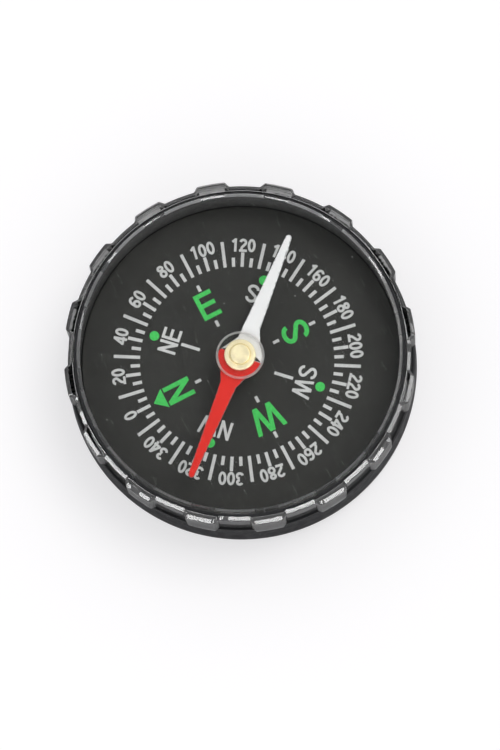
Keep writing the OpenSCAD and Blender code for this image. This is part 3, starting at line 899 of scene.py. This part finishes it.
def under_lobe(r, z, angle):
    return z < ledge_z + FROST_SKIN and beside_lobe(angle)


black_cement = finish(
    "black_cement", (0.02, 0.02, 0.02), roughness=0.6, tone=(0.6, 0.2), fine=(3.0, 0.3)
)
frosted_foot = finish(
    "frosted_foot", (0.4, 0.4, 0.4), roughness=0.6, tone=(1.0, 0.1), fine=(6.0, 0.3)
)
refinish(cover, black_cement, in_joint)
refinish(cover, frosted_foot, under_lobe)

# %% [markdown]
# Fingers and pockets wear the grip lobes first. Their upright faces are no longer polished: they
# scatter light, and look paler than the recesses between them. The bevel above stays bright. The
# step round the window is dull between the lobes too, so it glints only beside them.

# %% Dull the lobes
LOBE_SKIN = 0.1
STEP_SKIN = 0.02


def worn_dull(r, z, angle):
    """Upright faces of the lobes, and the window's step between the lobes."""
    upright = ledge_z + LOBE_SKIN < z < cover_top - COVER_BEVEL - LOBE_SKIN
    on_step = r < WINDOW_R + WINDOW_RECESS and z > window_top + STEP_SKIN
    return (r > VALLEY_R + LOBE_SKIN and upright) or (on_step and not beside_lobe(angle))


dull_acrylic = let_light_through(
    finish(
        "dull_acrylic",
        (0.98, 0.98, 0.98),
        roughness=0.38,
        tone=(0.5, 0.02),
        fine=(3.0, 0.1),
        scratches=(3.0, 0.01),
        plain=ACRYLIC,
    )
)
refinish(cover, dull_acrylic, worn_dull)

# %% [markdown]
# The dial is a thin black disc, die-cut, so its top edge is slightly rolled. It is stuck to its
# seat with a ring of adhesive, and the pivot comes up through its hole.

# %% Make the dial and its adhesive ring
DIAL_HOLE_R = 1.2
DIAL_EDGE = 0.08

dial = turned(
    "dial",
    [
        (DIAL_HOLE_R, dial_z, KEEN),
        (dial_r, dial_z, KEEN),
        (dial_r, dial_top, DIAL_EDGE),
        (DIAL_HOLE_R, dial_top, DIAL_EDGE),
    ],
)
adhesive = turned(
    "dial_adhesive",
    [
        (SEAT_R, seat_z, TINY),
        (dial_r, seat_z, TINY),
        (dial_r, dial_z, TINY),
        (SEAT_R, dial_z, TINY),
    ],
)
dial_card = finish(
    "dial_card",
    (0.0215, 0.0215, 0.0185),
    roughness=0.5,
    tone=(0.15, 0.1),
    fine=(14.0, 0.25),
    specks=(0.9, 0.12),
    plain={"Specular IOR Level": 0.35},
)
tacky = finish(
    "adhesive_film", (0.45, 0.33, 0.16), roughness=0.4, tone=(1.0, 0.2), fine=(4.0, 0.4)
)
sign_in(dial, "case", "dial_plate", dial_card)
sign_in(adhesive, "case", "dial_adhesive_ring", tacky)

# %% [markdown]
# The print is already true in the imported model: each tick, digit and letter is a thin raised film
# with sharp corners, as screen printing leaves it. Those nodes keep their meshes and only get ink.
# White ink is chalky and slightly uneven. The green ink glows in the dark, so it holds coarse
# crystals that make it a little grainy.

# %% Print the dial
white_ink = finish(
    "white_ink",
    (0.7, 0.705, 0.69),
    roughness=0.55,
    tone=(1.2, 0.05),
    fine=(16.0, 0.4),
    plain={"Specular IOR Level": 0.3},
)
glow_ink = finish(
    "glow_ink",
    (0.07, 0.65, 0.125),
    roughness=0.6,
    tone=(3.0, 0.1),
    fine=(9.0, 0.8),
    plain={"Specular IOR Level": 0.3},
)
WHITE_NODES = (
    "ticks_short",
    "ticks_medium",
    "ticks_long",
    "numerals",
    "intercardinal_letters",
    "cardinal_dashes",
    "intercardinal_lines",
)
GREEN_NODES = ("cardinal_letters", "north_arrow", "luminous_dots")


def ink(node, material):
    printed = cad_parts[node]
    printed.data.materials.clear()
    printed.data.materials.append(material)


for node in WHITE_NODES:
    ink(node, white_ink)
for node in GREEN_NODES:
    ink(node, glow_ink)
print("printed", len(WHITE_NODES), "white and", len(GREEN_NODES), "green nodes")

# %% [markdown]
# Under the needle stand a brass bush, pressed into the boss, and a hardened steel pin with a
# conical point. Both are turned, so both show rings from the tool.

# %% Turn the pivot
METAL = {"Metallic": 1.0}
PIN_CONE = 1.1
PIN_FLAT_R = 0.04
RING_STRENGTH = 0.6
RING_DEPTH = 0.002


def turned_metal(name, colour, roughness, pitch, plain=None):
    """A finish for turned metal, with rings in its bump."""
    material = finish(name, colour, roughness, tone=(0.8, 0.12), fine=(5.0, 0.1), plain=plain)
    tree = material.node_tree
    bump = next(n for n in tree.nodes if n.type == "BUMP")
    ringed = add(
        tree,
        "Bump",
        {
            "Height": use(tree, rings, "Height", Pitch=pitch),
            "Strength": RING_STRENGTH,
            "Distance": RING_DEPTH * MM,
            "Normal": bump.outputs[0],
        },
    )
    tree.links.new(ringed.outputs[0], tree.nodes["Principled BSDF"].inputs["Normal"])
    return material


bush = turned(
    "pivot_bush_turned",
    [
        (0, bush_z),
        (bush_foot_r, bush_z, EASED),
        (bush_foot_r, bush_z + BUSH_FOOT_H, EASED),
        (BUSH_R, bush_z + BUSH_FOOT_H),
        (BUSH_R, bush_top, SOFT),
        (pin_r, bush_top, CRISP),
        (pin_r, pin_z),
        (0, pin_z),
    ],
    closed=False,
)
pin = turned(
    "pivot_pin_turned",
    [
        (0, pin_z),
        (pin_r, pin_z, CRISP),
        (pin_r, pin_top - PIN_CONE, SOFT),
        (PIN_FLAT_R, pin_top, TINY),
        (0, pin_top),
    ],
    closed=False,
)
brass = turned_metal("brass_turned", (0.78, 0.57, 0.27), 0.28, pitch=0.06, plain=METAL)
pin_steel = turned_metal("pin_steel", (0.55, 0.56, 0.58), 0.18, pitch=0.04, plain=METAL)
sign_in(bush, "case", "pivot_bush", brass)
sign_in(pin, "case", "pivot_pin", pin_steel)

# %% [markdown]
# The needle is stamped from thin sheet: two tapering arms with round tips, and a disc in the middle
# that blends into them. One side of the disc is clipped to a flat, because that is how a needle is
# brought into balance. Its outline is symmetrical about the long axis apart from that flat, so it
# can be given as a half width for each place along the needle.

# %% Draw the needle's outline
NEEDLE_BEARING = 319
NEEDLE_L = 34
ROOT_W = 2.3
TIP_W = 0.8
DISC_R = 2.9
FLAT_REACH = 2.15
FLAT_BEARING = 124
SHOULDER_L = 1.4
ROOT_SHARE = 0.45
SHOULDER_FOOT_SHARE = 0.34
SHOULDER_TOP_SHARE = 0.9
FERRULE_R = 1.15
MIDDLE_STEPS = 48
TIP_STEPS = 14
HOLE_STEPS = 40

tip_r = TIP_W / 2
tip_y = NEEDLE_L / 2 - tip_r
root_y = 2 * DISC_R * ROOT_SHARE
shoulder_foot = 2 * DISC_R * SHOULDER_FOOT_SHARE
shoulder_y = DISC_R + SHOULDER_L


def arm_half(y):
    """Half the arm's width at a distance y from the axis."""
    share = max(0, (y - root_y) / (tip_y - root_y))
    return ROOT_W / 2 * (1 - share) + tip_r * share


def middle_half(y):
    """Half the width of the disc with its shoulders."""
    disc = sqrt(max(0, DISC_R**2 - y**2))
    if not shoulder_foot <= y <= shoulder_y:
        return disc
    share = (y - shoulder_foot) / (shoulder_y - shoulder_foot)
    top = arm_half(shoulder_y) * SHOULDER_TOP_SHARE
    return max(disc, shoulder_foot * (1 - share) + top * share)


def side_x(y, side):
    """How far the needle reaches to one side at y. The flat is on the side of +X."""
    middle = middle_half(abs(y))
    if side > 0:
        flat = radians(FLAT_BEARING)
        middle = min(middle, (FLAT_REACH - y * cos(flat)) / sin(flat))
    return side * max(middle, arm_half(abs(y)))


def arc_points(radius, start, turn, steps, middle=(0, 0)):
    """Points along an arc, without its two ends. The angles are in radians, from +X."""
    angles = [start + turn * k / steps for k in range(1, steps)]
    return [(middle[0] + radius * cos(a), middle[1] + radius * sin(a)) for a in angles]


def arm_outline(end):
    """One half of the outer edge, end 1 or -1, counter-clockwise from side to side."""
    ys = [shoulder_y * k / MIDDLE_STEPS for k in range(MIDDLE_STEPS + 1)] + [tip_y]
    out = [(side_x(end * y, end), end * y) for y in ys]
    start = 0 if end > 0 else pi
    tip = arc_points(tip_r, start, pi, TIP_STEPS, (0, end * tip_y))
    home = [(side_x(end * y, -end), end * y) for y in reversed(ys)]
    return out + tip + home


def hole_outline(end):
    """One half of the edge of the ferrule's hole, clockwise from side to side."""
    half = arc_points(FERRULE_R, pi if end > 0 else 0, -pi, HOLE_STEPS)
    return [(-end * FERRULE_R, 0), *half, (end * FERRULE_R, 0)]


print("half the outer edge has", len(arm_outline(1)), "points")

# %% [markdown]
# A stamped plate and a coat of enamel are made in the same way: the edge goes up in rings, and each
# ring is drawn in a little, along a quarter of an ellipse, which rounds the edge. Enamel flows, so
# its edge is wide and soft. The edge of the steel is only broken. To draw a ring in, each point
# moves along the line that halves the corner there.

# %% Raise a plate with rounded edges
EDGE_STEPS = 5
STEEL_EDGE = (0.03, 0.03)
ENAMEL_FOOT = (0.005, 0.005)
ENAMEL_EDGE = (0.16, 0.04)


def inward(points):
    """For each point, the move that draws the closed outline in by 1. The plate is on its left."""
    moves = []
    for i, point in enumerate(points):
        before = (Vector(point) - Vector(points[i - 1])).normalized()
        after = (Vector(points[(i + 1) % len(points)]) - Vector(point)).normalized()
        both = Vector((-before.y - after.y, before.x + after.x))
        moves.append(both * 2 / both.length_squared)
    return moves


def quarter(width, height):
    """Steps (drawn in, rise) of a rounded edge, from the wall to the flat."""
    angles = [pi / 2 * k / EDGE_STEPS for k in range(EDGE_STEPS + 1)]
    return [(width * (1 - cos(a)), height * sin(a)) for a in angles]


def plate(name, loops, caps, low, high, low_edge, high_edge):
    """A flat piece from closed loops of points. Each cap lists the points (loop, place) that it
    joins, and each edge is the (width, height) of its rounding."""
    below = [(d, low + low_edge[1] - rise, 0.0) for d, rise in reversed(quarter(*low_edge))]
    above = [(d, high - high_edge[1] + rise, 1.0) for d, rise in quarter(*high_edge)]
    above[-1] = (*above[-1][:2], 0.0)
    bm = bmesh.new()
    rub_layer = bm.verts.layers.float.new("edge")
    spin = Matrix.Rotation(-radians(NEEDLE_BEARING), 4, "Z")
    stacks = []
    for points in loops:
        moves = inward(points)
        stack = []
        for drawn_in, z, worn in below + above:
            places = [Vector(p) + move * drawn_in for p, move in zip(points, moves)]
            stack.append([bm.verts.new(spin @ (Vector((*spot, z)) * MM)) for spot in places])
            for vert in stack[-1]:
                vert[rub_layer] = worn
        for lower, upper in zip(stack, stack[1:]):
            for i in range(len(points)):
                k = (i + 1) % len(points)
                bm.faces.new([lower[i], lower[k], upper[k], upper[i]])
        stacks.append(stack)
    for cap in caps:
        bm.faces.new([stacks[loop][-1][i] for loop, i in cap])
        bm.faces.new([stacks[loop][0][i] for loop, i in reversed(cap)])
    return new_piece(name, bm)


def coat(name, end):
    """Enamel on one half of the needle."""
    points = arm_outline(end) + hole_outline(end)
    cap = [(0, i) for i in range(len(points))]
    return plate(name, [points], [cap], blade_top, enamel_top, ENAMEL_FOOT, ENAMEL_EDGE)


outer = arm_outline(1)[:-1] + arm_outline(-1)[:-1]
hole = hole_outline(1)[:-1] + hole_outline(-1)[:-1]
side = len(outer) // 2
turn = len(hole) // 2
blade_caps = [
    [(0, i) for i in range(side + 1)] + [(1, i) for i in range(turn + 1)],
    [(0, i % len(outer)) for i in range(side, len(outer) + 1)]
    + [(1, i % len(hole)) for i in range(turn, len(hole) + 1)],
]
blade = plate("blade", [outer, hole], blade_caps, blade_z, blade_top, STEEL_EDGE, STEEL_EDGE)
red_coat = coat("red_coat", 1)
white_coat = coat("white_coat", -1)

# %% [markdown]
# Enamel is a thick glossy paint. It gets a clear coat over its colour, a slow waviness, and an
# edge that has rubbed dull in places. The blade itself is ground steel, and its underside stays
# bare.

# %% Finish the needle
red_enamel = finish(
    "red_enamel",
    (0.8, 0.022, 0.013),
    roughness=0.4,
    tone=(0.8, 0.05),
    fine=(1.6, 0.25),
    rubbed=((0.35, 0.1, 0.09), 0.35),
    plain={"Coat Weight": 0.2, "Coat Roughness": 0.15, "Specular IOR Level": 0.3},
)
white_enamel = finish(
    "white_enamel",
    (0.97, 0.97, 0.96),
    roughness=0.35,
    tone=(0.8, 0.02),
    fine=(1.6, 0.25),
    rubbed=((0.5, 0.5, 0.5), 0.35),
    plain={"Coat Weight": 0.5, "Coat Roughness": 0.12},
)
blade_steel = finish(
    "blade_steel",
    (0.5, 0.52, 0.55),
    roughness=0.32,
    tone=(0.7, 0.15),
    fine=(8.0, 0.2),
    scratches=(6.0, 0.01),
    plain=METAL,
)
sign_in(blade, "needle", "needle_blade", blade_steel)
sign_in(red_coat, "needle", "north_paint", red_enamel)
sign_in(white_coat, "needle", "south_paint", white_enamel)

# %% [markdown]
# The hub has four pieces. A brass ferrule is riveted through the blade and holds a cup jewel,
# which runs on the pin's point. A clear washer lies on the blade, and a pale brass cap closes the
# top. Washer and cap are what the photograph shows, so their small steps and edges matter most.

# %% Turn the hub
RIVET_T = 0.25
JEWEL_CUP_R = 0.65
JEWEL_CUP_FLOOR_R = 0.12
JEWEL_ROOF = 0.2
WASHER_TOP = cap_z
BEAD_W = 0.28
SHOULDER_Z = 10.15
BUTTON_R = 1.25
GROOVE_W = 0.18
GROOVE_DEPTH = 0.15
CAP_EDGE = 0.22

ferrule = turned(
    "ferrule",
    [
        (jewel_r, ferrule_z, KEEN),
        (FERRULE_R, ferrule_z, CRISP),
        (FERRULE_R, blade_z - RIVET_T, FINE),
        (rivet_r, blade_z - RIVET_T, FULL),
        (rivet_r, blade_z, KEEN),
        (FERRULE_R, blade_z),
        (FERRULE_R, ferrule_top, FINE),
        (jewel_r, ferrule_top, KEEN),
    ],
)
jewel = turned(
    "jewel",
    [
        (0, jewel_top - JEWEL_ROOF),
        (JEWEL_CUP_FLOOR_R, jewel_top - JEWEL_ROOF, EASED),
        (JEWEL_CUP_R, jewel_z, FINE),
        (jewel_r, jewel_z, CRISP),
        (jewel_r, jewel_top, CRISP),
        (0, jewel_top),
    ],
    closed=False,
)
washer = turned(
    "washer",
    [
        (FERRULE_R, washer_z, TINY),
        (washer_r, washer_z, FINE),
        (washer_r, bead_top, SOFT),
        (washer_r - BEAD_W, bead_top, EASED),
        (washer_r - BEAD_W, WASHER_TOP, CRISP),
        (FERRULE_R, WASHER_TOP, TINY),
    ],
)
cap = turned(
    "cap",
    [
        (0, ferrule_top),
        (FERRULE_R, ferrule_top),
        (FERRULE_R, cap_z, FINE),
        (cap_r, cap_z, FINE),
        (cap_r, SHOULDER_Z, CAP_EDGE),
        (BUTTON_R + GROOVE_W, SHOULDER_Z, NEAT),
        (BUTTON_R, SHOULDER_Z - GROOVE_DEPTH, FINE),
        (BUTTON_R, cap_top, ROUND),
        (0, cap_top),
    ],
    closed=False,
)

# %% [markdown]
# The cap is pale brass with a satin face. The washer is clear, and only its raised rim is frosted,
# so it gets two materials, and each face takes the one for its distance from the axis. The jewel
# is a drop of amber glass.

# %% Finish the hub
half_metal = {"Metallic": 0.4}
cap_brass = turned_metal("cap_brass", (0.95, 0.84, 0.54), 0.5, pitch=0.07, plain=half_metal)
clear_washer = let_light_through(
    finish(
        "clear_washer",
        (1.0, 1.0, 0.99),
        roughness=0.08,
        tone=(1.0, 0.02),
        fine=(3.0, 0.02),
        plain=ACRYLIC,
    )
)
frosted_rim = finish(
    "frosted_rim",
    (0.85, 0.83, 0.82),
    roughness=0.4,
    tone=(1.0, 0.08),
    fine=(8.0, 0.3),
    plain={**ACRYLIC, "Transmission Weight": 0.8},
)
jewel_glass = let_light_through(
    finish(
        "jewel_glass",
        (0.8, 0.5, 0.22),
        roughness=0.06,
        tone=(1.0, 0.05),
        fine=(3.0, 0.02),
        plain={"Transmission Weight": 1.0, "IOR": 1.55},
    )
)
sign_in(ferrule, "needle", "needle_hub", brass)
sign_in(jewel, "needle", "bearing_jewel", jewel_glass)
sign_in(washer, "needle", "hub_flange", clear_washer)
refinish(washer, frosted_rim, lambda r, z, angle: r > washer_r - BEAD_W)
sign_in(cap, "needle", "hub_cap", cap_brass)
